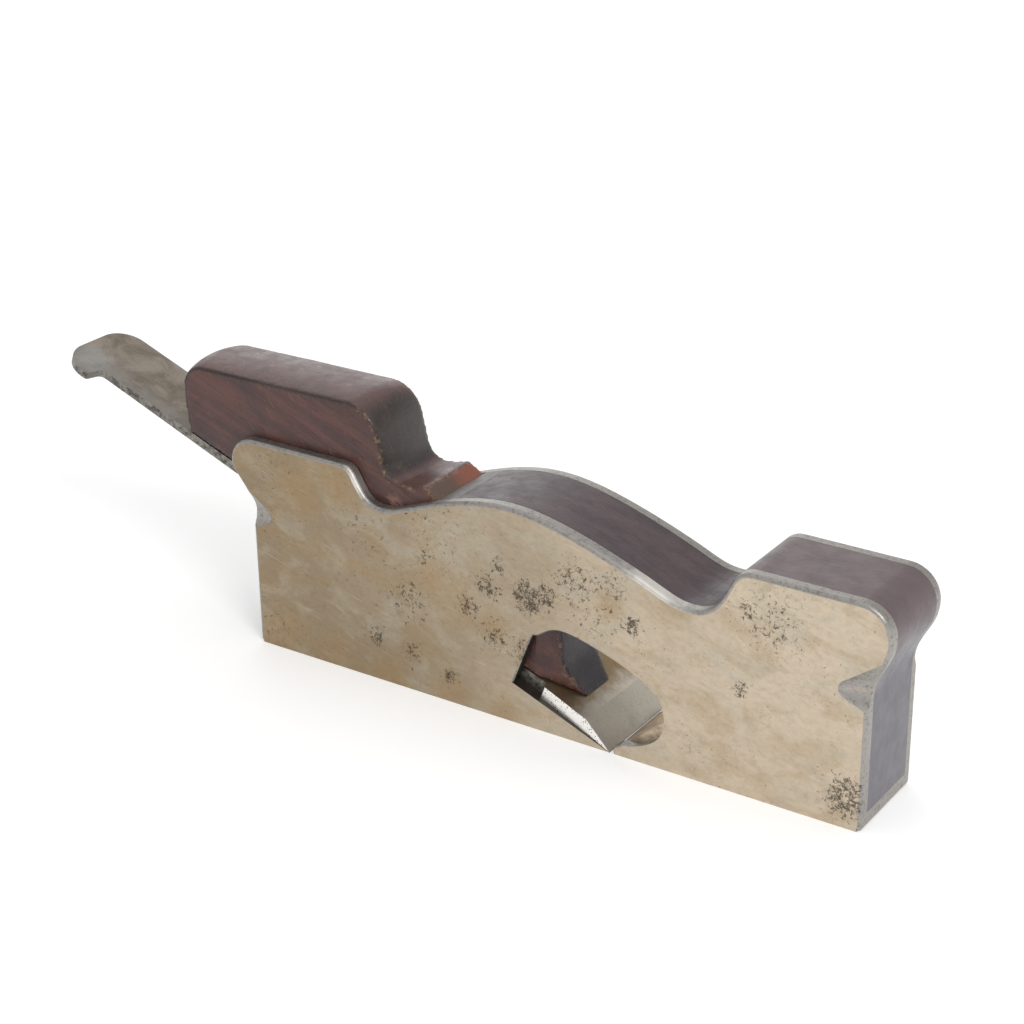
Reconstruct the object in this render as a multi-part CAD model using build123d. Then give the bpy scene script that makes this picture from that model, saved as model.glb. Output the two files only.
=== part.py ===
from build123d import *
import os
from math import cos, pi, radians, sin, tan

# A steel-bodied infill shoulder plane: two side plates dovetailed to a split sole, rosewood
# infill, a T-shaped snecked iron bedded bevel up, and a wedge that locks it under a bridge.
#
# Millimetres. +X points from heel to toe, +Z up, and the origin is on the sole, midway along
# it and midway across. Positions along the plane are given from the heel end of the sole.

SOLE_LENGTH = 203.2
BODY_WIDTH = 30.5
PLATE_THICKNESS = 3.5
SOLE_THICKNESS = 4.5
INSIDE_HALF = BODY_WIDTH / 2 - PLATE_THICKNESS
CORNER_RADIUS = 1.2
EDGE_ROUND = 1.2
WINDOW_EASING = 0.4

HEEL_HEIGHT = 67.0
TOE_HEIGHT = 66.6
HUMP_HEIGHT = 67.2
HEEL_OVERHANG = 7.5
THUMB_CUT_ANGLE = 81.0
THUMB_CUT_TILT = 29.0
THUMB_CUT_TIP_RADIUS = 4.0
TOE_CUT_TIP = (192.0, 40.5)
TOE_CUT_LIFT = 6.5
HEEL_CUT_TIP = (9.8, 43.0)
HEEL_CUT_LIFT = 4.0

MOUTH_X = 126.0
MOUTH_GAP = 0.22
PLATE_MOUTH_GAP = 1.2
THROAT_BLOCK_HEIGHT = 13.0
BED_ANGLE = 21.4
THROAT_ANGLE = 40.0
THROAT_RUN = 14.0

IRON_EDGE_THICKNESS = 4.3
IRON_TAIL_THICKNESS = 2.3
IRON_LENGTH = 214.4
IRON_SHOULDER = 26.2
IRON_RIGHT_SHOULDER = 13.4
IRON_LEFT_SHOULDER = 14.5
IRON_SHANK_HALF = 11.5
IRON_BEVEL_ANGLE = 22.0
IRON_GAP = 0.08
# The iron's plan, by distance up the bed and distance to the right, with each corner's radius.
IRON_PLAN = {
    (0, -BODY_WIDTH / 2): 0,
    (IRON_SHOULDER, -IRON_LEFT_SHOULDER): 0.4,
    (IRON_SHOULDER, -IRON_SHANK_HALF): 0.8,
    (IRON_LENGTH, -IRON_SHANK_HALF): 8.5,
    (IRON_LENGTH, 17.2): 9.5,
    (202.8, 17.2): 1.0,
    (201.6, IRON_SHANK_HALF): 2.2,
    (IRON_SHOULDER, IRON_SHANK_HALF): 0.8,
    (IRON_SHOULDER, IRON_RIGHT_SHOULDER): 0.4,
    (0, BODY_WIDTH / 2): 0,
    (-1.0, BODY_WIDTH / 2): 0,
    (-1.0, -BODY_WIDTH / 2): 0,
}

WEDGE_HALF = 11.55
WEDGE_GAP = 0.12
BEARING_GAP = 0.15
WEDGE_TOP_HEIGHT = 85.0
WEDGE_CROWN = 1.3
WEDGE_BEARING_ANGLE = 30.0
WEDGE_CREST_X = 61.2
WEDGE_CREST_Z = 64.7
WEDGE_REAR_X = -27.4
WEDGE_END_X = 106.1
WEDGE_TIP_ALONG = 14.8
WEDGE_TAPER_X = 99.5
WEDGE_TIP_X = 113.9
WEDGE_TIP_HALF = 5.9

BRIDGE_REAR_X = 66.9
BRIDGE_FRONT_X = 73.0
ROOF_END_X = 115.4

RIVET_RADIUS = 2.0
BRIDGE_RIVET_RADIUS = 1.2
TOE_RIVETS = [(156.0, 17.0), (190.0, 17.0), (190.0, 52.0)]
HEEL_RIVETS = [(13.0, 16.0), (13.0, 36.0), (66.0, 13.0)]
BRIDGE_RIVETS = [(71.0, 61.2)]

PIN_TOP_WIDTH = 9.0
PIN_BOTTOM_WIDTH = 7.0
HEEL_PINS = [12.0, 34.0, 56.0, 78.0]
TOE_PINS = [152.0, 172.0, 192.0]

# The iron's top face leans less than the bed, because the iron thins towards its tail.
IRON_TAPER = (IRON_EDGE_THICKNESS - IRON_TAIL_THICKNESS) / IRON_LENGTH
WIDE = 60.0
TALL = 120.0


def at(x, z):
    """A point of the side view: x from the heel end of the sole, z above the sole."""
    return Vector(x - SOLE_LENGTH / 2, z)


def slab(outline, y_low, y_high):
    """The side-view outline, filled and carried across the plane from y_low to y_high."""
    face = Plane.XZ * make_face(outline)
    return Pos(0, y_high, 0) * extrude(face, amount=y_high - y_low)


def closed(points):
    return Polyline(*points, close=True).edges()


def bed_point(along, above):
    """A point of the side view, by its distance up the bed and its height above the bed."""
    angle = radians(BED_ANGLE)
    x = MOUTH_X - along * cos(angle) + above * sin(angle)
    z = along * sin(angle) + above * cos(angle)
    return at(x, z)


def iron_thickness(along):
    return IRON_EDGE_THICKNESS - along * IRON_TAPER


def bearing_height(x):
    """Height of the wedge's upper bearing face at x."""
    return WEDGE_CREST_Z - (x - WEDGE_CREST_X) * tan(radians(WEDGE_BEARING_ANGLE))


def body_outline():
    """The side view of the body: level sole, coved ends, and the humped top."""
    length = SOLE_LENGTH
    toe_turn = 27
    heel_turn = 38
    bottom = Line(at(CORNER_RADIUS, 0), at(length - CORNER_RADIUS, 0))
    toe_corner = JernArc(bottom @ 1, (1, 0), CORNER_RADIUS, 90)
    toe_end = Line(toe_corner @ 1, at(length, 38.6))
    toe_cove = JernArc(toe_end @ 1, (0, 1), 16, -toe_turn)
    toe_slope = Line(toe_cove @ 1, toe_cove @ 1 + (toe_cove % 1) * 4.8)
    toe_nose = JernArc(toe_slope @ 1, toe_slope % 1, 16, toe_turn)
    toe_round = JernArc(toe_nose @ 1, (0, 1), TOE_HEIGHT - (toe_nose @ 1).Y, 90)
    toe_top = Line(toe_round @ 1, at(169, TOE_HEIGHT))
    toe_fall = Spline(
        at(169, TOE_HEIGHT), at(161.1, 59.4), at(150.3, 51.5),
        tangents=[(-1, 0), (-0.45, -0.89), (-1, 0)],
    )
    hump = Spline(
        at(150.3, 51.5), at(140.3, 54.1), at(117.7, 62.4), at(92, HUMP_HEIGHT),
        at(66, 61.8), at(54.5, 57.5), at(47.6, 56.3),
        tangents=[(-1, 0), (-1, 0)],
    )
    heel_rise = Spline(
        at(47.6, 56.3), at(40.4, 61.4), at(34.2, HEEL_HEIGHT),
        tangents=[(-1, 0), (-0.55, 0.83), (-1, 0)],
    )
    round_radius = 8.1
    heel_top = Line(at(34.2, HEEL_HEIGHT), at(round_radius - HEEL_OVERHANG, HEEL_HEIGHT))
    heel_round = JernArc(heel_top @ 1, (-1, 0), round_radius, 90)
    nose_radius = 5.0
    cove_radius = 11.4
    turned = 1 - cos(radians(heel_turn))
    slope_run = HEEL_OVERHANG - (nose_radius + cove_radius) * turned
    heel_nose = JernArc(heel_round @ 1, (0, -1), nose_radius, heel_turn)
    slope_length = slope_run / sin(radians(heel_turn))
    heel_slope = Line(heel_nose @ 1, heel_nose @ 1 + (heel_nose % 1) * slope_length)
    heel_cove = JernArc(heel_slope @ 1, heel_slope % 1, cove_radius, -heel_turn)
    heel_end = Line(heel_cove @ 1, at(0, CORNER_RADIUS))
    heel_corner = JernArc(heel_end @ 1, (0, -1), CORNER_RADIUS, 90)
    return [
        bottom, toe_corner, toe_end, toe_cove, toe_slope, toe_nose, toe_round, toe_top,
        toe_fall, hump, heel_rise, heel_top, heel_round, heel_nose, heel_slope, heel_cove,
        heel_end, heel_corner,
    ]


def window_outline():
    """The opening through each side plate, from the mouth to behind the iron's shoulders."""
    bed_rear = bed_point(34.9, 0)
    rim = Spline(
        at(129.4, 3.5), at(136.5, 5.5), at(141.4, 9.1), at(143.4, 14.5), at(141.2, 21.1),
        at(135.4, 25.7), at(124.0, 30.4), at(113.5, 33.2), at(106.0, 32.6),
        at(101.4, 29.9), at(98.6, 25.9),
        tangents=[(1, 0.12), (-0.4, -1)],
    )
    rear = Line(rim @ 1, bed_rear)
    bed = Line(bed_rear, at(MOUTH_X, 0))
    front_x = MOUTH_X + PLATE_MOUTH_GAP
    mouth = Polyline(at(MOUTH_X, 0), at(MOUTH_X, -1), at(front_x, -1), at(front_x, 2), rim @ 0)
    return [rim, rear, bed] + mouth.edges()


def cavity_outline():
    """The space inside the body for the wedge, the iron and the shavings."""
    wall_top = at(MOUTH_X + MOUTH_GAP + THROAT_RUN, THROAT_RUN * tan(radians(THROAT_ANGLE)))
    wall = Line(at(MOUTH_X + MOUTH_GAP, 0), wall_top)
    roof_low = at(ROOF_END_X, bearing_height(ROOF_END_X) + BEARING_GAP)
    brow = Line(at(133.5, 26.6), roof_low)
    turn = Spline(wall_top, at(142.2, 19.0), brow @ 0, tangents=[wall % 1, brow % 0])
    rest = Polyline(
        roof_low, at(20, bearing_height(20) + BEARING_GAP), at(-40, 90), bed_point(190, 0),
        at(MOUTH_X, 0), at(MOUTH_X, -1), at(MOUTH_X + MOUTH_GAP, -1), wall @ 0,
    )
    return [wall, turn, brow] + rest.edges()


def dovetail_pins(centres):
    """Pins that lock the sole into both plates, narrower at the bottom so it can't drop."""
    pins = []
    for x in centres:
        outline = closed([
            at(x - PIN_BOTTOM_WIDTH / 2, 0), at(x + PIN_BOTTOM_WIDTH / 2, 0),
            at(x + PIN_TOP_WIDTH / 2, SOLE_THICKNESS), at(x - PIN_TOP_WIDTH / 2, SOLE_THICKNESS),
        ])
        pins.append(slab(outline, INSIDE_HALF, BODY_WIDTH / 2))
        pins.append(slab(outline, -BODY_WIDTH / 2, -INSIDE_HALF))
    return pins


def rivets(places, radius):
    """Pins through the whole body, peened and filed flush with both plates."""
    pins = []
    for x, z in places:
        centre = at(x, z)
        pin = extrude(Plane.XZ * Circle(radius), amount=BODY_WIDTH / 2, both=True)
        pins.append(Pos(centre.X, 0, centre.Y) * pin)
    return pins


def all_rivets():
    return (
        rivets(TOE_RIVETS, RIVET_RADIUS)
        + rivets(HEEL_RIVETS, RIVET_RADIUS)
        + rivets(BRIDGE_RIVETS, BRIDGE_RIVET_RADIUS)
    )


def thumb_cut(tip, toward, lift):
    """A gouge cut under the nose: a blunt cone that leaves the plate at its end.

    It starts at tip, on the outer face, and runs towards the end (toward is 1 for the toe and
    -1 for the heel), widening, deepening, and rising by lift degrees.
    """
    length = 24.0
    radius = THUMB_CUT_TIP_RADIUS
    half_angle = radians(THUMB_CUT_ANGLE / 2)
    ball_along = radius / sin(half_angle)
    blunt_along = ball_along * cos(half_angle) ** 2
    mid_angle = (pi / 2 - half_angle) / 2
    nose = ThreePointArc(
        (ball_along - radius, 0),
        (ball_along - radius * cos(mid_angle), radius * sin(mid_angle)),
        (blunt_along, blunt_along * tan(half_angle)),
    )
    flank = Line(nose @ 1, (length, length * tan(half_angle)))
    profile = make_face([nose, flank, Polyline(flank @ 1, (length, 0), nose @ 0)])
    level = cos(radians(THUMB_CUT_TILT))
    axis = Vector(
        toward * level * cos(radians(lift)),
        -sin(radians(THUMB_CUT_TILT)),
        level * sin(radians(lift)),
    )
    place = at(*tip)
    start = Vector(place.X, -BODY_WIDTH / 2, place.Y)
    return Plane(origin=start, x_dir=axis, z_dir=axis.cross(Vector(0, 0, 1))) * revolve(profile, Axis.X)


def window_easing():
    """A shallow flare around the window's rim, which stops at the bed."""
    outer = -BODY_WIDTH / 2
    window = make_face(window_outline())
    outside = Pos(0, outer - 0.01, 0) * (Plane.XZ * offset(window, WINDOW_EASING))
    inside = Pos(0, outer + WINDOW_EASING, 0) * (Plane.XZ * window)
    above_bed = closed([bed_point(-1, 0), bed_point(60, 0), bed_point(60, 60), bed_point(-20, 60)])
    return loft([outside, inside]) & slab(above_bed, -WIDE, WIDE)


def side_plate():
    """The right-hand plate, with its outer edges eased, its window and its thumb cuts."""
    outer = -BODY_WIDTH / 2
    plate = slab(body_outline(), outer, -INSIDE_HALF)
    outer_edges = plate.faces().sort_by(Axis.Y)[0].edges()
    plate = fillet(outer_edges, EDGE_ROUND)
    crisp_corner = closed([
        at(CORNER_RADIUS, 0), at(SOLE_LENGTH - CORNER_RADIUS, 0),
        at(SOLE_LENGTH - CORNER_RADIUS, EDGE_ROUND), at(CORNER_RADIUS, EDGE_ROUND),
    ])
    plate += slab(crisp_corner, outer, -INSIDE_HALF)
    plate -= slab(window_outline(), outer - 1, 0)
    plate -= window_easing()
    plate -= thumb_cut(TOE_CUT_TIP, 1, TOE_CUT_LIFT)
    plate -= thumb_cut(HEEL_CUT_TIP, -1, HEEL_CUT_LIFT)
    for pin in dovetail_pins(HEEL_PINS + TOE_PINS):
        plate -= pin
    for rivet in all_rivets():
        plate -= rivet
    return plate


def region(points):
    return slab(closed(points), -INSIDE_HALF, INSIDE_HALF)


def sole(points, pins):
    """One half of the sole: a strip between the plates, with dovetail pins through them."""
    body = slab(body_outline(), -INSIDE_HALF, INSIDE_HALF)
    piece = (body & region(points)) - slab(cavity_outline(), -WIDE, WIDE)
    for pin in dovetail_pins(pins):
        piece += pin
    return piece


def heel_sole():
    return sole([
        at(-1, -1), at(MOUTH_X, -1), at(MOUTH_X, SOLE_THICKNESS), at(-1, SOLE_THICKNESS),
    ], HEEL_PINS)


def toe_sole_outline():
    """The toe sole and the block on it that makes the front wall of the throat."""
    front = SOLE_LENGTH + 1
    block_x = MOUTH_X + THROAT_RUN + 3
    return [
        at(MOUTH_X, -1), at(front, -1), at(front, SOLE_THICKNESS),
        at(block_x + THROAT_BLOCK_HEIGHT, SOLE_THICKNESS),
        at(block_x, THROAT_BLOCK_HEIGHT), at(MOUTH_X, THROAT_BLOCK_HEIGHT),
    ]


def toe_sole():
    return sole(toe_sole_outline(), TOE_PINS)


def infill(points, places):
    """The wood inside one part of the body, drilled for the rivets that hold it."""
    body = slab(body_outline(), -INSIDE_HALF, INSIDE_HALF)
    block = (body & region(points)) - slab(cavity_outline(), -WIDE, WIDE)
    for rivet in rivets(places, RIVET_RADIUS):
        block -= rivet
    return block


def heel_infill():
    """The wood under the iron, whose sloping top is the bed."""
    below_bed = [at(-20, SOLE_THICKNESS), at(MOUTH_X, SOLE_THICKNESS), bed_point(190, 5)]
    return infill(below_bed, HEEL_RIVETS)


def toe_infill():
    """The wood in front of the bridge and the throat, up to the nose."""
    front = SOLE_LENGTH + 20
    above_cavity = [
        at(MOUTH_X + 2, SOLE_THICKNESS), at(front, SOLE_THICKNESS), at(front, TALL),
        at(BRIDGE_FRONT_X, TALL), at(BRIDGE_FRONT_X, bearing_height(BRIDGE_FRONT_X)),
        at(ROOF_END_X, bearing_height(ROOF_END_X) - 3),
    ]
    return infill(above_cavity, TOE_RIVETS) - region(toe_sole_outline())


def bridge():
    """The steel cross-piece that the wedge pushes up against."""
    body = slab(body_outline(), -INSIDE_HALF, INSIDE_HALF)
    bar = region([
        at(BRIDGE_REAR_X, bearing_height(BRIDGE_REAR_X) + BEARING_GAP),
        at(BRIDGE_FRONT_X, bearing_height(BRIDGE_FRONT_X) + BEARING_GAP),
        at(BRIDGE_FRONT_X, TALL), at(BRIDGE_REAR_X, TALL),
    ])
    bar = body & bar
    for rivet in rivets(BRIDGE_RIVETS, BRIDGE_RIVET_RADIUS):
        bar -= rivet
    return bar


def iron():
    """The T-shaped iron: full width at the edge, a narrow shank, and a sneck at the tail."""
    bevel_run = IRON_EDGE_THICKNESS / (tan(radians(IRON_BEVEL_ANGLE)) + IRON_TAPER)
    profile = closed([
        bed_point(0.15, IRON_GAP), bed_point(bevel_run, iron_thickness(bevel_run)),
        bed_point(IRON_LENGTH + 5, iron_thickness(IRON_LENGTH + 5)),
        bed_point(IRON_LENGTH + 5, IRON_GAP),
    ])
    thickness = slab(profile, -WIDE, WIDE)
    angle = radians(BED_ANGLE)
    tip = at(MOUTH_X, 0)
    up_bed = (-cos(angle), 0, sin(angle))
    square_to_bed = (sin(angle), 0, cos(angle))
    bed = Plane(origin=(tip.X, 0, tip.Y), x_dir=up_bed, z_dir=square_to_bed)
    plan = make_face(Polyline(*IRON_PLAN.keys(), close=True))
    for corner, radius in IRON_PLAN.items():
        if radius:
            plan = fillet(plan.vertices().sort_by_distance(corner)[0], radius)
    return extrude(bed * plan, amount=IRON_EDGE_THICKNESS + 2) & thickness


def wedge_outline(crown):
    """The side view of the wedge: a hand-filling block at the rear and a long taper in front.

    The block stands out by crown at its top, and by part of it at its rear and front.
    """
    rear_low = bed_point(164.6, iron_thickness(164.6) + WEDGE_GAP)
    tip = bed_point(WEDGE_TIP_ALONG, iron_thickness(WEDGE_TIP_ALONG) + WEDGE_GAP)
    crest = at(WEDGE_CREST_X, WEDGE_CREST_Z)
    top_front = at(34.5 + crown / 2, WEDGE_TOP_HEIGHT + crown)
    face_lean = 12.8
    face_length = 9.0 + crown
    round_radius = 10.8
    hollow_radius = 6.0
    base = Line(rear_low, tip)
    scoop = Spline(tip, at(110.1, 13.5), at(WEDGE_END_X, 22.5), tangents=[(-1, 0.6), (0, 1)])
    end = Line(scoop @ 1, at(WEDGE_END_X, bearing_height(WEDGE_END_X)))
    bearing = Line(end @ 1, crest)
    top_round = JernArc(top_front, (1, 0), round_radius, face_lean - 90)
    face = Line(top_round @ 1, top_round @ 1 + (top_round % 1) * face_length)
    hollow = JernArc(face @ 1, face % 1, hollow_radius, 93 - face_lean)
    lip = TangentArc(hollow @ 1, crest, tangent=hollow % 1)
    back_radius = 7.1
    back_top = at(WEDGE_REAR_X + back_radius - crown, WEDGE_TOP_HEIGHT - 0.5 + crown)
    back_round = JernArc(back_top, (-1, 0), back_radius, 90)
    back = TangentArc(back_round @ 1, rear_low, tangent=(0, -1))
    top = Line(top_front, back_top)
    return [base, scoop, end, bearing, lip, hollow, face, top_round, top, back_round, back]


def wedge():
    """The rosewood wedge, crowned across its top and narrowed at its tip."""
    sections = []
    for y, crown in [(-WEDGE_HALF, 0), (0, WEDGE_CROWN), (WEDGE_HALF, 0)]:
        sections.append(Pos(0, y, 0) * (Plane.XZ * make_face(wedge_outline(crown))))
    block = loft(sections)
    taper_x = at(WEDGE_TAPER_X, 0).X
    rear_x = at(WEDGE_REAR_X - 1, 0).X
    tip_x = at(WEDGE_TIP_X, 0).X
    plan = Polyline(
        (rear_x, -WEDGE_HALF), (taper_x, -WEDGE_HALF), (tip_x, -WEDGE_TIP_HALF),
        (tip_x, WEDGE_TIP_HALF), (taper_x, WEDGE_HALF), (rear_x, WEDGE_HALF),
        close=True,
    )
    return block & extrude(make_face(plan), amount=TALL)


def write(name, shape):
    solids = shape if isinstance(shape, list) else shape.solids()
    node = solids[0] if len(solids) == 1 else Compound(children=solids)
    export_step(node, f"parts/{name}.step")


def main():
    os.makedirs("parts", exist_ok=True)
    right_plate = side_plate()
    write("right_side_plate", right_plate)
    write("left_side_plate", mirror(right_plate, about=Plane.XZ))
    write("heel_sole", heel_sole())
    write("toe_sole", toe_sole())
    write("heel_infill", heel_infill())
    write("toe_infill", toe_infill())
    write("bridge", bridge())
    write("heel_rivets", rivets(HEEL_RIVETS, RIVET_RADIUS))
    write("toe_rivets", rivets(TOE_RIVETS, RIVET_RADIUS))
    write("bridge_rivet", rivets(BRIDGE_RIVETS, BRIDGE_RIVET_RADIUS))
    write("cutting_iron", iron())
    write("wedge", wedge())


main()
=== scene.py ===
import math

import bmesh
import bpy
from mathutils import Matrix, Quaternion, Vector, noise
from mathutils.kdtree import KDTree


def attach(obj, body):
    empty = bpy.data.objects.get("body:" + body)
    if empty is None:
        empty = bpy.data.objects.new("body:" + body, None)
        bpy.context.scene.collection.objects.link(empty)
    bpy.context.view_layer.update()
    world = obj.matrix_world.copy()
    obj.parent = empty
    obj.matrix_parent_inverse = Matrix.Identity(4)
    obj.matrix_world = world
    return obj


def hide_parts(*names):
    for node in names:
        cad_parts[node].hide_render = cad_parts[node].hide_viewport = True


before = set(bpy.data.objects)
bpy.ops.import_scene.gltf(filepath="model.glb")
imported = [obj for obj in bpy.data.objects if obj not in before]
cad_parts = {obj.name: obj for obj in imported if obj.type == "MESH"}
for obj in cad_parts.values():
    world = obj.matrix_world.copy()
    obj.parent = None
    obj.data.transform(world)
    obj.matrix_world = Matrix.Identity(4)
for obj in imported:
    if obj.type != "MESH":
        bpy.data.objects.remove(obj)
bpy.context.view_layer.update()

# The camera stands off the toe end, above the sole, and looks back along the right side. Places
# are in metres, the roll in degrees, and the lens and sensor in millimetres.
CAMERA_AT = Vector((0.3108, -0.4847, 0.3240))
CAMERA_TARGET = Vector((-0.0178, 0.0, 0.0580))
CAMERA_ROLL = -0.80
CAMERA_LENS = 79.56
CAMERA_SENSOR = 36.0

MM = 0.001
# The plane's own measures, in millimetres and degrees. X runs to the toe, Z up, and the right side is -Y.
HALF_WIDTH = 15.25
INSIDE_HALF = 11.75
BED_ANGLE = 21.4
THROAT_BACK = 23
THROAT_FRONT = 45
THROAT_TOP = 20
EASED_EDGE_Y = -14.6

# How the wedge has worn, in millimetres and degrees.
WEDGE_VOXEL = 0.55
SHARP_ANGLE = 35
EDGE_STEP = 0.5
WEAR_REACH = 1.8


def linear(red, green, blue):
    """A colour given as ordinary 0-255 screen values."""
    out = []
    for value in (red, green, blue):
        value /= 255
        out.append(value / 12.92 if value <= 0.04045 else ((value + 0.055) / 1.055) ** 2.4)
    return (*out, 1)


class Graph:
    """The nodes of one material. Lengths in it are millimetres."""

    def __init__(self, name):
        self.material = bpy.data.materials.new(name)
        self.material.use_nodes = True
        self.tree = self.material.node_tree
        self.shader = self.tree.nodes["Principled BSDF"]
        coordinates = self.tree.nodes.new("ShaderNodeTexCoord")
        self.place = self.vector("SCALE", coordinates.outputs["Object"], scale=1 / MM)
        self.x, self.y, self.z = self.split(self.place)
        self.facing = self.split(coordinates.outputs["Normal"])

    def feed(self, socket, value):
        if isinstance(value, bpy.types.NodeSocket):
            self.tree.links.new(value, socket)
        elif value is not None:
            socket.default_value = value

    def vector(self, operation, first, second=None, scale=None):
        node = self.tree.nodes.new("ShaderNodeVectorMath")
        node.operation = operation
        self.feed(node.inputs[0], first)
        self.feed(node.inputs[1], second)
        if scale is not None:
            self.feed(node.inputs["Scale"], scale)
        return node.outputs["Value" if operation == "DISTANCE" else "Vector"]

    def split(self, source):
        node = self.tree.nodes.new("ShaderNodeSeparateXYZ")
        self.feed(node.inputs[0], source)
        return node.outputs[0], node.outputs[1], node.outputs[2]

    def math(self, operation, first, second=None):
        node = self.tree.nodes.new("ShaderNodeMath")
        node.operation = operation
        self.feed(node.inputs[0], first)
        self.feed(node.inputs[1], second)
        return node.outputs[0]

    def add(self, first, second):
        return self.math("ADD", first, second)

    def times(self, first, second):
        return self.math("MULTIPLY", first, second)

    def size(self, value):
        return self.math("ABSOLUTE", value)

    def most(self, first, second):
        return self.math("MAXIMUM", first, second)

    def shifted(self, value, noise, amount):
        """The value moved up and down by about half of amount, as the noise goes."""
        return self.add(value, self.times(self.add(noise, -0.5), amount))

    def span(self, value, low, high, start=0.0, end=1.0):
        """Turns value between low and high into start to end, with soft ends."""
        node = self.tree.nodes.new("ShaderNodeMapRange")
        node.interpolation_type = "SMOOTHSTEP"
        for name, number in (("Value", value), ("From Min", low), ("From Max", high)):
            self.feed(node.inputs[name], number)
        self.feed(node.inputs["To Min"], start)
        self.feed(node.inputs["To Max"], end)
        return node.outputs["Result"]

    def mix(self, amount, first, second):
        node = self.tree.nodes.new("ShaderNodeMix")
        node.data_type = "RGBA"
        self.feed(node.inputs["Factor"], amount)
        self.feed(node.inputs[6], first)
        self.feed(node.inputs[7], second)
        return node.outputs[2]

    def tint(self, colour, mask, strength, tone):
        """The colour, taken towards tone by up to strength where the mask is 1."""
        return self.mix(self.times(mask, strength), colour, tone)

    def stretched(self, along=(1, 1, 1), turned=0.0, shift=0.0):
        """Places turned about Y, then scaled, so that noise made from them runs into streaks."""
        node = self.tree.nodes.new("ShaderNodeMapping")
        node.vector_type = "TEXTURE"
        self.feed(node.inputs["Vector"], self.place)
        node.inputs["Location"].default_value = (shift, shift, shift)
        node.inputs["Rotation"].default_value = (0, math.radians(turned), 0)
        node.inputs["Scale"].default_value = along
        return node.outputs["Vector"]

    def noise(self, grain, detail=3.0, roughness=0.5, warp=0.0, source=None):
        """Noise whose blobs are about grain millimetres across."""
        node = self.tree.nodes.new("ShaderNodeTexNoise")
        self.feed(node.inputs["Vector"], source or self.place)
        node.inputs["Scale"].default_value = 1 / grain
        node.inputs["Detail"].default_value = detail
        node.inputs["Roughness"].default_value = roughness
        node.inputs["Distortion"].default_value = warp
        return node.outputs[0]

    def wobble(self, grain, amount):
        """Places moved about by up to amount, to roughen whatever is made from them."""
        node = self.tree.nodes.new("ShaderNodeTexNoise")
        self.feed(node.inputs["Vector"], self.place)
        node.inputs["Scale"].default_value = 1 / grain
        node.inputs["Detail"].default_value = 3
        moved = self.vector("ADD", node.outputs["Color"], (-0.5, -0.5, -0.5))
        return self.vector("ADD", self.place, self.vector("SCALE", moved, scale=amount))

    def cells(self, grain, source):
        """How far each place is from the middle of its cell, and a random number per cell."""
        node = self.tree.nodes.new("ShaderNodeTexVoronoi")
        self.feed(node.inputs["Vector"], source)
        node.inputs["Scale"].default_value = 1 / grain
        shade = self.split(node.outputs["Color"])[0]
        return node.outputs["Distance"], shade

    def near(self, spot, radius, ragged):
        """1 at a spot, fading to 0 at radius, with a ragged rim."""
        gap = self.shifted(self.vector("DISTANCE", self.place, spot), ragged, radius * 1.1)
        return self.span(gap, radius, radius * 0.15)

    def between_plates(self, blur):
        """1 between the side plates and 0 outside them, blurred by blur either way."""
        return self.span(self.size(self.y), INSIDE_HALF + blur, INSIDE_HALF - blur)

    def bump(self, height, depth, under=None):
        """Relief from height, where a height of 1 stands depth millimetres proud."""
        node = self.tree.nodes.new("ShaderNodeBump")
        node.inputs["Strength"].default_value = 1.0
        node.inputs["Distance"].default_value = depth * MM
        self.feed(node.inputs["Height"], height)
        self.feed(node.inputs["Normal"], under)
        return node.outputs["Normal"]

    def finish(self, colour, roughness, normal, metallic):
        self.feed(self.shader.inputs["Base Color"], colour)
        self.feed(self.shader.inputs["Roughness"], roughness)
        self.feed(self.shader.inputs["Normal"], normal)
        self.feed(self.shader.inputs["Metallic"], metallic)
        return self.material


# Where the pitting has gathered on the right-hand plate: x and z, its reach, and how dense it is.
PIT_SPOTS = [
    (-2.5, 40.9, 6.5, 1.0), (4.0, 43.0, 4.5, 0.85), (31.3, 41.8, 3.6, 1.0),
    (-56.3, 14.3, 3.8, 0.85), (-43.0, 13.0, 4.0, 0.7), (-30.0, 8.5, 3.6, 0.8),
    (64.8, 32.3, 2.8, 0.9), (97.0, 9.2, 8.0, 0.85), (74.0, 54.0, 13.0, 0.48), (66.0, 56.0, 4.0, 0.7),
    (-16.0, 41.0, 5.0, 0.8), (-23.0, 33.0, 5.0, 0.75), (-12.5, 48.5, 3.5, 0.75),
    (13.0, 49.5, 9.0, 0.6), (-4.0, 24.0, 6.0, 0.65), (-38.0, 45.0, 4.0, 0.65),
    (-44.0, 30.0, 9.0, 0.55), (-14.0, 26.0, 7.0, 0.6), (-60.0, 48.0, 12.0, 0.35),
    (55.0, 63.0, 6.0, 0.65), (25.0, 52.0, 6.0, 0.6), (20.0, 40.0, 9.0, 0.45),
]
# Brown stains on the same plate: x and z, and reach.
STAINS = [
    (-35.0, 38.0, 11.0), (-27.0, 34.0, 12.0), (-15.0, 29.0, 9.0), (-2.0, 22.0, 7.0),
    (-92.0, 5.0, 16.0), (-74.0, 3.0, 13.0), (-52.0, 2.0, 12.0), (-30.0, 2.0, 11.0),
    (-12.0, 2.0, 9.0), (-84.0, 56.0, 15.0), (-70.0, 60.0, 12.0), (24.0, 46.0, 7.0), (45.0, 52.0, 9.0),
]


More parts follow.
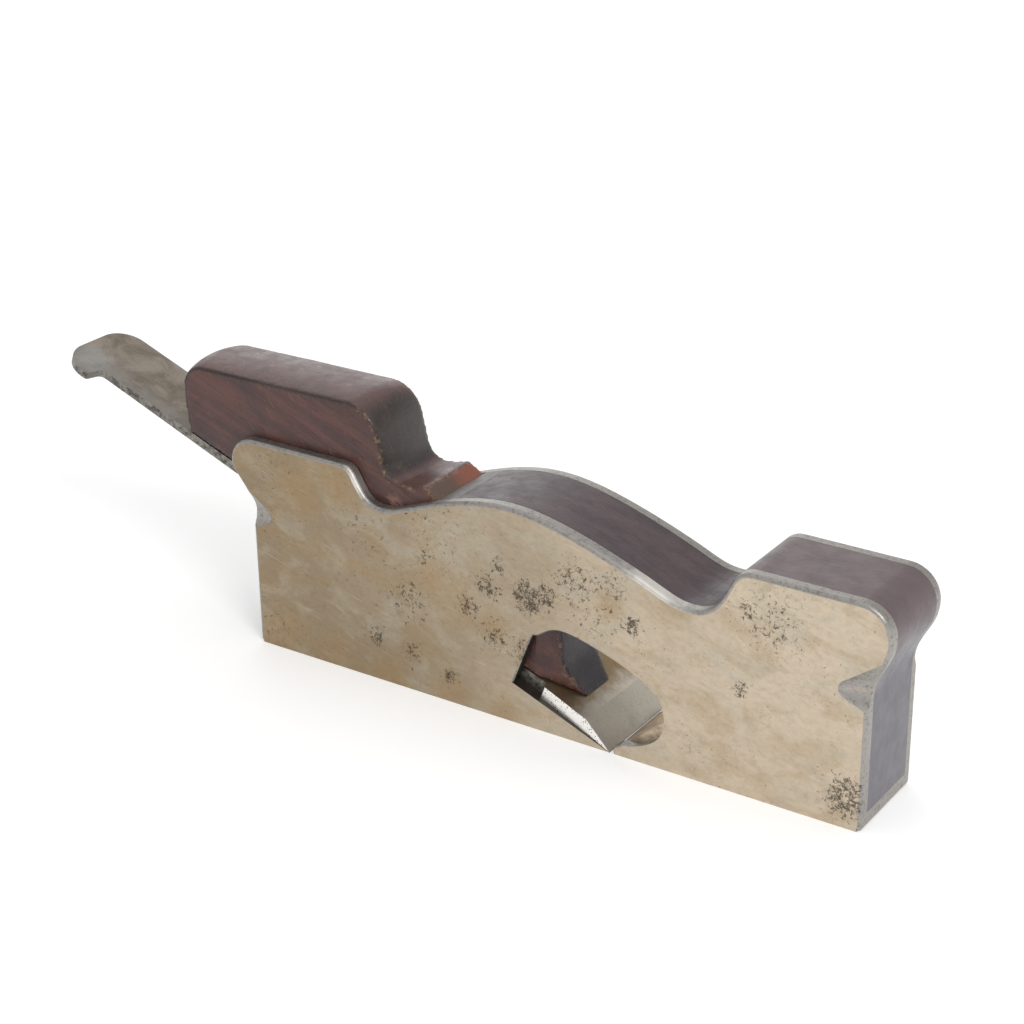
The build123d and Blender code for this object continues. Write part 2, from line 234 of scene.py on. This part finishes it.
def pitting(graph):
    """Dark pits: a few all over, and thick patches of them in some places."""
    spread = 1.45
    ragged = graph.noise(2.6, 5, 0.7)
    density = graph.span(graph.noise(20, 3), 0.42, 0.75, 0.0, 0.34)
    for x, z, reach, strength in PIT_SPOTS:
        patch = graph.near((x, -HALF_WIDTH, z), reach * spread, ragged)
        density = graph.most(density, graph.times(patch, strength))
    coarse = graph.add(graph.noise(1.5, 6, 0.80, 0.5), graph.times(density, 0.21))
    fine = graph.add(graph.noise(0.5, 4, 0.7, 0.3, graph.stretched(shift=17)), graph.times(density, 0.05))
    specks = graph.add(graph.noise(0.9, 3, 0.6, 0.6, graph.stretched(shift=43)), graph.times(density, 0.07))
    patches = graph.times(graph.span(coarse, 0.635, 0.69), graph.span(fine, 0.43, 0.53))
    return graph.most(patches, graph.times(graph.span(specks, 0.715, 0.75), 0.85))


def patina(graph, drift, mottle):
    """The flats' colour: tan, lighter towards the toe with painted light, with cloudy, stained, rusty and
    mottled places in it.
    """
    # Painted light: the tan grows lighter from the heel towards the toe.
    along = graph.shifted(graph.x, graph.noise(38, 3), 110)
    colour = graph.mix(graph.span(along, -90, 75), linear(146, 130, 107), linear(202, 187, 166))
    cloud = graph.span(graph.noise(11, 6, 0.62, 1.1, drift), 0.44, 0.64)
    colour = graph.tint(colour, cloud, 0.38, linear(178, 173, 157))
    warm = graph.times(graph.span(graph.noise(15, 5, 0.6, 1.6, drift), 0.47, 0.66), 0.6)
    ragged = graph.noise(9, 5, 0.65, 1.0)
    for x, z, reach in STAINS:
        warm = graph.most(warm, graph.near((x, -HALF_WIDTH, z), reach, ragged))
    warm = graph.times(warm, graph.span(graph.noise(2.4, 6, 0.75, 0.6), 0.28, 0.52, 0.55, 1.0))
    colour = graph.tint(colour, warm, 0.50, linear(160, 132, 92))
    rust = graph.span(graph.noise(3.5, 6, 0.72, 0.6), 0.56, 0.72)
    colour = graph.tint(colour, rust, 0.24, linear(136, 108, 74))
    return graph.mix(graph.span(mottle, 0.40, 0.72, 0.0, 0.18), colour, linear(112, 102, 86))


def edge_tone(graph):
    """The rims, coves and ends: speckled grey, with painted shade between the plates behind the mouth, and
    painted highlights on the heel's rise and the hump's slope.
    """
    speckle = graph.span(graph.noise(1.2, 6, 0.75, 0.8), 0.48, 0.66)
    colour = graph.tint(linear(162, 158, 153), speckle, 0.50, linear(70, 65, 61))
    # Painted shade: darker between the plates, behind the mouth.
    painted_rear_shade = graph.times(graph.between_plates(0.05), graph.span(graph.x, -20, -25))
    colour = graph.tint(colour, painted_rear_shade, 0.7, linear(84, 82, 84))
    # Painted highlights: near white on the eased edge at the heel's rise and on the hump's slope.
    rubbed_and_highlight = graph.near((-63.5, EASED_EDGE_Y, 61.5), 7.0, graph.noise(3, 4))
    rubbed_and_highlight = graph.most(rubbed_and_highlight, graph.near((38.0, EASED_EDGE_Y, 55.5), 14.0, graph.noise(3, 4)))
    return graph.tint(colour, rubbed_and_highlight, 0.7, linear(236, 232, 224))


def add_inside(graph, colour, across):
    """The colour with the throat's tan walls in it, and painted shade inside behind the mouth."""
    throat = graph.times(graph.between_plates(0.15), graph.span(graph.x, THROAT_FRONT + 1, THROAT_FRONT - 1))
    below_top = graph.span(graph.z, THROAT_TOP + 2, THROAT_TOP - 2)
    ahead_of_bed = graph.span(graph.x, THROAT_BACK - 1, THROAT_BACK + 1)
    throat = graph.times(throat, graph.times(below_top, ahead_of_bed))
    blotches = graph.span(graph.noise(3.0, 5, 0.7), 0.35, 0.65)
    throat_colour = graph.mix(blotches, linear(226, 204, 176), linear(160, 138, 110))
    colour = graph.mix(graph.times(throat, graph.span(graph.z, 0.05, 0.4)), colour, throat_colour)
    # Painted shade: darker on the walls and floor inside, behind the mouth.
    painted_inside_shade = graph.times(graph.span(across, 0.7, 0.4), graph.span(graph.x, 25, 22))
    painted_inside_shade = graph.times(painted_inside_shade, graph.times(graph.span(graph.z, 33, 30), graph.span(graph.x, -12, -10)))
    return graph.tint(colour, painted_inside_shade, 0.85, linear(58, 50, 42))


def body_steel():
    """Old steel: a warm tan patina on the flats with painted light towards the toe, silvery rubbed edges
    with painted highlights, painted shade in the recesses behind the mouth, stains and pits.
    """
    graph = Graph("worn_body_steel")
    drift = graph.stretched((1.7, 1, 1), 10, 20)
    mottle = graph.noise(1.6, 6, 0.75, 0.4, drift)
    colour = patina(graph, drift, mottle)
    scratches = graph.noise(0.5, 2, 0.5, 0, graph.stretched((26, 1, 1), 14))
    cross = graph.noise(0.4, 2, 0.5, 0, graph.stretched((20, 1, 1), -38, 70))
    marks = graph.most(graph.span(scratches, 0.66, 0.78), graph.span(cross, 0.70, 0.80))
    colour = graph.tint(colour, marks, 0.24, linear(226, 218, 202))
    across = graph.size(graph.facing[1])
    colour = graph.mix(graph.span(across, 0.998, 0.97), colour, edge_tone(graph))
    colour = add_inside(graph, colour, across)
    pits = graph.times(pitting(graph), graph.span(across, 0.4, 0.9))
    colour = graph.tint(colour, pits, 0.80, linear(74, 67, 60))
    roughness = graph.span(mottle, 0.25, 0.8, 0.36, 0.50)
    roughness = graph.add(roughness, graph.times(pits, 0.28))
    relief = graph.bump(graph.noise(0.35, 4, 0.6), 0.012)
    relief = graph.bump(graph.add(graph.times(pits, -1), graph.times(marks, -0.25)), 0.07, relief)
    relief = graph.bump(graph.noise(4, 3, 0.5), 0.05, relief)
    return graph.finish(colour, roughness, relief, 0.9)


def iron_steel():
    """Forged and ground iron: grey-brown, brushed along its length, with a painted highlight on the ground
    sides.
    """
    graph = Graph("cutting_iron_steel")
    cloud = graph.noise(11, 5, 0.65, 0.8)
    colour = graph.mix(graph.span(cloud, 0.35, 0.68), linear(140, 131, 120), linear(116, 106, 93))
    hook = graph.near((-169.0, -10.0, 76.0), 9.0, graph.noise(5, 5, 0.7))
    colour = graph.tint(colour, hook, 0.75, linear(170, 170, 166))
    side_wear = graph.span(graph.add(graph.y, graph.times(graph.noise(6, 5, 0.7), 9)), 1.5, -5.0)
    colour = graph.tint(colour, side_wear, 0.5, linear(126, 124, 121))
    brown = graph.span(graph.shifted(graph.x, graph.noise(8, 5, 0.7), 16), -8, 4)
    colour = graph.tint(colour, brown, 0.8, linear(156, 132, 98))
    near_edge = graph.span(graph.shifted(graph.x, graph.noise(5, 4, 0.6), 10), 9, 16)
    colour = graph.tint(colour, near_edge, 0.8, linear(216, 210, 197))
    speckle = graph.span(graph.noise(0.8, 6, 0.75), 0.54, 0.70)
    colour = graph.tint(colour, speckle, 0.40, linear(82, 76, 70))
    brushed = graph.noise(0.45, 3, 0.5, 0, graph.stretched((30, 1, 1), BED_ANGLE))
    colour = graph.mix(graph.span(brushed, 0.60, 0.76, 0.0, 0.22), colour, linear(214, 210, 204))
    flank = graph.span(graph.size(graph.facing[1]), 0.5, 0.8)
    flank_tone = graph.span(graph.noise(2.2, 6, 0.75), 0.42, 0.62)
    flank_colour = graph.mix(flank_tone, linear(140, 136, 130), linear(84, 78, 72))
    colour = graph.mix(flank, colour, flank_colour)
    # Painted highlight: the ground sides of the wide part are painted near white with dark pits, and are
    # made smoother below.
    polished_side_highlight = graph.times(flank, graph.span(graph.size(graph.y), 12.9, 13.2))
    polished_side_highlight = graph.times(polished_side_highlight, graph.span(graph.x, -20, -4))
    gap, shade = graph.cells(0.7, graph.wobble(0.6, 0.8))
    low_part = graph.times(graph.add(graph.x, graph.times(graph.z, 2.55)), -1)
    low_part = graph.span(low_part, -31, -25, 0.0, 0.28)
    dots = graph.times(graph.span(gap, 0.36, 0.24), graph.span(graph.add(shade, low_part), 0.66, 0.76))
    side_highlight_colour = graph.mix(graph.times(dots, 0.9), linear(250, 248, 244), linear(96, 86, 74))
    colour = graph.mix(polished_side_highlight, colour, side_highlight_colour)
    roughness = graph.span(cloud, 0.3, 0.7, 0.34, 0.50)
    roughness = graph.add(roughness, graph.times(polished_side_highlight, -0.12))
    relief = graph.bump(graph.noise(0.5, 5, 0.6), 0.02)
    relief = graph.bump(graph.add(brushed, graph.times(speckle, -1)), 0.03, relief)
    relief = graph.bump(graph.noise(9, 3), 0.16, relief)
    return graph.finish(colour, roughness, relief, 0.92)


def grain_lines(graph, turned):
    """Fine dark lines along the grain, and broader bands of tone."""
    fine = graph.noise(0.55, 4, 0.6, 0.0, graph.stretched((34, 1, 1), turned))
    bands = graph.noise(4.2, 3, 0.55, 0.4, graph.stretched((12, 1, 1), turned, 30))
    pores = graph.span(graph.noise(0.32, 2, 0.5, 0.0, graph.stretched((22, 1, 1), turned, 60)), 0.62, 0.72)
    return fine, bands, pores


def infill_wood():
    """Dark rosewood, polished by hands, with painted shade along the joint with the plates and painted sheen
    on the toe's top and front faces.
    """
    graph = Graph("infill_rosewood")
    fine, bands, pores = grain_lines(graph, 0)
    colour = graph.mix(graph.span(bands, 0.35, 0.68), linear(62, 50, 54), linear(80, 64, 68))
    colour = graph.mix(graph.span(fine, 0.42, 0.70, 0.0, 0.40), colour, linear(44, 35, 39))
    red = graph.span(graph.noise(20, 3, 0.6, 1.0), 0.50, 0.72)
    colour = graph.tint(colour, red, 0.25, linear(86, 60, 60))
    colour = graph.tint(colour, pores, 0.5, linear(34, 26, 28))
    # Painted shade along the joint with the plates.
    painted_joint_shade = graph.span(graph.size(graph.y), 11.15, 11.7)
    colour = graph.tint(colour, painted_joint_shade, 0.55, linear(46, 38, 36))
    rubbed_and_highlight = graph.span(graph.noise(3.2, 6, 0.75), 0.60, 0.78)
    colour = graph.tint(colour, rubbed_and_highlight, 0.22, linear(140, 118, 108))
    # Painted sheen on the top of the toe infill.
    painted_toe_sheen = graph.times(graph.span(graph.x, 52, 64), graph.span(graph.z, 44, 58))
    colour = graph.tint(colour, painted_toe_sheen, 0.45, linear(118, 102, 104))
    # Painted reflection: a grey sheen on the forward-facing faces below the top.
    front = graph.times(graph.span(graph.facing[0], 0.55, 0.99), graph.span(graph.z, 58, 50))
    colour = graph.tint(colour, front, 0.7, linear(108, 108, 115))
    roughness = graph.span(graph.noise(6, 5, 0.6), 0.3, 0.7, 0.30, 0.46)
    relief = graph.bump(graph.add(graph.times(pores, -1), graph.times(fine, 0.4)), 0.05)
    relief = graph.bump(graph.noise(7, 4, 0.6), 0.16, relief)
    return graph.finish(colour, roughness, relief, 0.0)


def wedge_wood():
    """Red-brown rosewood with scratched sides, painted sheen on the crown, a front face worn dark and given
    painted shade, painted shade in the scoop and at the front, and bruised corners.
    """
    graph = Graph("wedge_rosewood")
    fine, bands, pores = grain_lines(graph, 20)
    colour = graph.mix(graph.span(bands, 0.35, 0.68), linear(66, 38, 34), linear(90, 52, 44))
    colour = graph.mix(graph.span(fine, 0.44, 0.70, 0.0, 0.5), colour, linear(46, 27, 26))
    dark = graph.span(graph.noise(16, 4, 0.6, 1.4), 0.48, 0.70)
    colour = graph.tint(colour, dark, 0.50, linear(46, 33, 36))
    colour = graph.tint(colour, pores, 0.5, linear(36, 24, 22))
    # Painted sheen on the upward faces of the crown.
    painted_top_sheen = graph.span(graph.facing[2], 0.55, 0.9)
    colour = graph.tint(colour, painted_top_sheen, 0.45, linear(96, 74, 70))
    # The front face: worn dark, and darkened further with painted shade.
    worn_face_and_shade = graph.times(graph.span(graph.facing[0], 0.35, 0.75), graph.span(graph.z, 58, 64))
    colour = graph.tint(colour, worn_face_and_shade, 0.8, linear(42, 41, 38))
    rising = graph.span(graph.noise(0.42, 3, 0.5, 0, graph.stretched((16, 1, 1), 52)), 0.63, 0.74)
    falling = graph.span(graph.noise(0.5, 3, 0.5, 0, graph.stretched((22, 1, 1), -35, 90)), 0.65, 0.74)
    cuts = graph.most(rising, falling)
    colour = graph.tint(colour, cuts, 0.34, linear(150, 100, 76))
    lip = graph.times(graph.span(graph.facing[0], 0.30, 0.48), graph.span(graph.z, 57.5, 58.5))
    lip = graph.times(lip, graph.span(graph.x, -44, -41))
    lip_tone = graph.add(graph.y, graph.times(graph.noise(2.5, 5, 0.7), 16))
    lip_colour = graph.mix(graph.span(lip_tone, 5, 13), linear(84, 62, 48), linear(136, 72, 48))
    colour = graph.mix(graph.times(lip, 0.8), colour, lip_colour)
    bruise = graph.near((-51.0, -11.5, 57.0), 4.5, graph.noise(1.2, 5, 0.8))
    torn = graph.noise(0.8, 3, 0.5, 0, graph.stretched((6, 1, 1), 30))
    bruise = graph.times(bruise, graph.span(torn, 0.5, 0.62))
    colour = graph.tint(colour, bruise, 0.6, linear(150, 110, 96))
    # Painted shade in the scoop at the wedge's tip.
    painted_scoop_shade = graph.times(graph.span(graph.facing[0], 0.55, 0.75), graph.span(graph.z, 40, 38))
    colour = graph.tint(colour, painted_scoop_shade, 0.9, linear(58, 54, 60))
    # Painted shade at the wedge's front.
    painted_deep_shade = graph.near((-53.5, 2.0, 59.0), 8.5, graph.noise(3.5, 4, 0.6))
    colour = graph.tint(colour, painted_deep_shade, 0.75, linear(34, 24, 26))
    scuff = graph.near((-57.0, -5.0, 62.5), 6.0, graph.noise(1.6, 6, 0.8))
    colour = graph.tint(colour, scuff, 0.75, linear(150, 130, 92))
    wear = graph.tree.nodes.new("ShaderNodeAttribute")
    wear.attribute_name = "wear"
    arris = wear.outputs["Fac"]
    chips = graph.times(arris, graph.span(graph.noise(1.6, 6, 0.75), 0.50, 0.62))
    front = graph.span(graph.x, -72, -60)
    chipped = graph.times(chips, graph.add(graph.times(front, 0.6), 0.2))
    colour = graph.mix(chipped, colour, linear(150, 118, 88))
    seam = graph.times(graph.span(arris, 0.30, 0.75), graph.span(graph.x, -58, -68))
    colour = graph.tint(colour, seam, 0.75, linear(26, 19, 18))
    roughness = graph.span(graph.noise(5, 5, 0.6), 0.3, 0.7, 0.26, 0.42)
    roughness = graph.add(roughness, graph.times(cuts, 0.15))
    relief = graph.bump(graph.add(graph.times(pores, -0.8), graph.times(fine, 0.4)), 0.05)
    relief = graph.bump(graph.times(graph.most(cuts, chips), -1), 0.07, relief)
    relief = graph.bump(graph.noise(8, 4, 0.6), 0.2, relief)
    return graph.finish(colour, roughness, relief, 0.0)


def sharp_edge_points(mesh):
    """Points EDGE_STEP apart along every sharp edge of a mesh."""
    work = bmesh.new()
    work.from_mesh(mesh)
    bmesh.ops.remove_doubles(work, verts=work.verts, dist=1e-6)
    points = []
    for edge in work.edges:
        if len(edge.link_faces) == 2 and edge.calc_face_angle(0) > math.radians(SHARP_ANGLE):
            start, end = edge.verts[0].co, edge.verts[1].co
            steps = max(1, int((end - start).length / (EDGE_STEP * MM)))
            points += [start.lerp(end, step / steps) for step in range(steps + 1)]
    work.free()
    return points


def wear_depth(place, closeness):
    """How far a place has worn in, in millimetres: most on the corners, and in shallow dents."""
    dents = max(0.0, noise.noise(place * 0.45) - 0.15) + 0.5 * max(0.0, noise.noise(place * 1.3) - 0.2)
    hollow = 0.12 * closeness ** 2 + 0.40 * closeness * dents
    return hollow + 0.05 * max(0.0, noise.noise(place * 0.16))


def worn_copy(node, name, voxel, material):
    """A finely meshed copy of a CAD node with its corners worn down and small dents in it."""
    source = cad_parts[node]
    copy = bpy.data.objects.new(name, source.data.copy())
    bpy.context.scene.collection.objects.link(copy)
    points = sharp_edge_points(source.data)
    remesh = copy.modifiers.new("remesh", "REMESH")
    remesh.mode = "VOXEL"
    remesh.voxel_size = voxel * MM
    remesh.use_smooth_shade = True
    depsgraph = bpy.context.evaluated_depsgraph_get()
    mesh = bpy.data.meshes.new_from_object(copy.evaluated_get(depsgraph))
    copy.modifiers.clear()
    copy.data = mesh
    tree = KDTree(len(points))
    for index, point in enumerate(points):
        tree.insert(point, index)
    tree.balance()
    wear = mesh.attributes.new("wear", "FLOAT", "POINT")
    normals = [vertex.normal.copy() for vertex in mesh.vertices]
    for vertex, normal in zip(mesh.vertices, normals):
        gap = tree.find(vertex.co)[2] / MM
        closeness = max(0.0, 1 - gap / WEAR_REACH)
        wear.data[vertex.index].value = closeness
        vertex.co -= normal * wear_depth(vertex.co / MM, closeness) * MM
    mesh.materials.clear()
    mesh.materials.append(material)
    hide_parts(node)
    return copy


def dress(nodes, material):
    """Gives the CAD nodes one material."""
    for name in nodes:
        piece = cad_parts[name]
        piece.data.materials.clear()
        piece.data.materials.append(material)


def add_camera():
    camera = bpy.data.objects.new("camera", bpy.data.cameras.new("camera"))
    bpy.context.scene.collection.objects.link(camera)
    camera.data.lens = CAMERA_LENS
    camera.data.sensor_width = CAMERA_SENSOR
    camera.data.clip_start = 0.01
    camera.location = CAMERA_AT
    aim = (CAMERA_TARGET - CAMERA_AT).to_track_quat("-Z", "Y")
    roll = Quaternion((0, 0, 1), math.radians(CAMERA_ROLL))
    camera.rotation_mode = "QUATERNION"
    camera.rotation_quaternion = aim @ roll
    bpy.context.scene.camera = camera


def add_area_light(name, place, target, size, power):
    light = bpy.data.lights.new(name, "AREA")
    light.shape = "DISK"
    light.size = size
    light.energy = power
    lamp = bpy.data.objects.new(name, light)
    bpy.context.scene.collection.objects.link(lamp)
    lamp.location = place
    lamp.rotation_euler = (Vector(target) - Vector(place)).to_track_quat("-Z", "Y").to_euler()


def add_sky():
    """A white surround that dims towards the top."""
    world = bpy.data.worlds.new("studio")
    bpy.context.scene.world = world
    world.use_nodes = True
    tree = world.node_tree
    sky = tree.nodes["Background"]
    sky.inputs["Color"].default_value = (1, 1, 1, 1)
    direction = tree.nodes.new("ShaderNodeTexCoord")
    height = tree.nodes.new("ShaderNodeSeparateXYZ")
    fade = tree.nodes.new("ShaderNodeMapRange")
    fade.inputs["From Max"].default_value = 0.7
    fade.inputs["To Min"].default_value = 0.95
    fade.inputs["To Max"].default_value = 0.42
    tree.links.new(direction.outputs["Generated"], height.inputs[0])
    tree.links.new(height.outputs["Z"], fade.inputs["Value"])
    tree.links.new(fade.outputs["Result"], sky.inputs["Strength"])


def add_sun():
    """A very wide, weak light from straight above."""
    sun = bpy.data.lights.new("overhead", "SUN")
    sun.energy = 0.9
    sun.angle = math.radians(100)
    lamp = bpy.data.objects.new("overhead", sun)
    bpy.context.scene.collection.objects.link(lamp)


def add_floor():
    """A pale matt floor, with a faint glow of its own that keeps it near white."""
    mesh = bpy.data.meshes.new("floor")
    size = 3.0
    corners = [(-size, -size, 0), (size, -size, 0), (size, size, 0), (-size, size, 0)]
    mesh.from_pydata(corners, [], [(0, 1, 2, 3)])
    floor = bpy.data.objects.new("floor", mesh)
    bpy.context.scene.collection.objects.link(floor)
    material = bpy.data.materials.new("pale_floor")
    material.use_nodes = True
    shader = material.node_tree.nodes["Principled BSDF"]
    shader.inputs["Base Color"].default_value = (0.92, 0.92, 0.92, 1)
    shader.inputs["Roughness"].default_value = 0.9
    shader.inputs["Specular IOR Level"].default_value = 0.0
    shader.inputs["Emission Color"].default_value = (1, 1, 1, 1)
    shader.inputs["Emission Strength"].default_value = 0.20
    mesh.materials.append(material)


def add_studio():
    """Soft, plain studio light over a pale floor."""
    bpy.context.scene.view_settings.view_transform = "Standard"
    add_sky()
    add_area_light("key", (0.60, -0.45, 0.75), (0.03, 0, 0.03), 0.35, 3.2)
    add_area_light("back", (-0.75, 0.95, 0.55), (0, 0, 0.03), 0.9, 1.6)
    add_sun()
    add_floor()


dress([
    "right_side_plate", "left_side_plate", "heel_sole", "toe_sole", "bridge",
    "heel_rivets", "toe_rivets", "bridge_rivet",
], body_steel())
dress(["heel_infill", "toe_infill"], infill_wood())
dress(["cutting_iron"], iron_steel())
wedge_piece = worn_copy("wedge", "worn_wedge", WEDGE_VOXEL, wedge_wood())
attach(wedge_piece, "wedge")

add_camera()
add_studio()
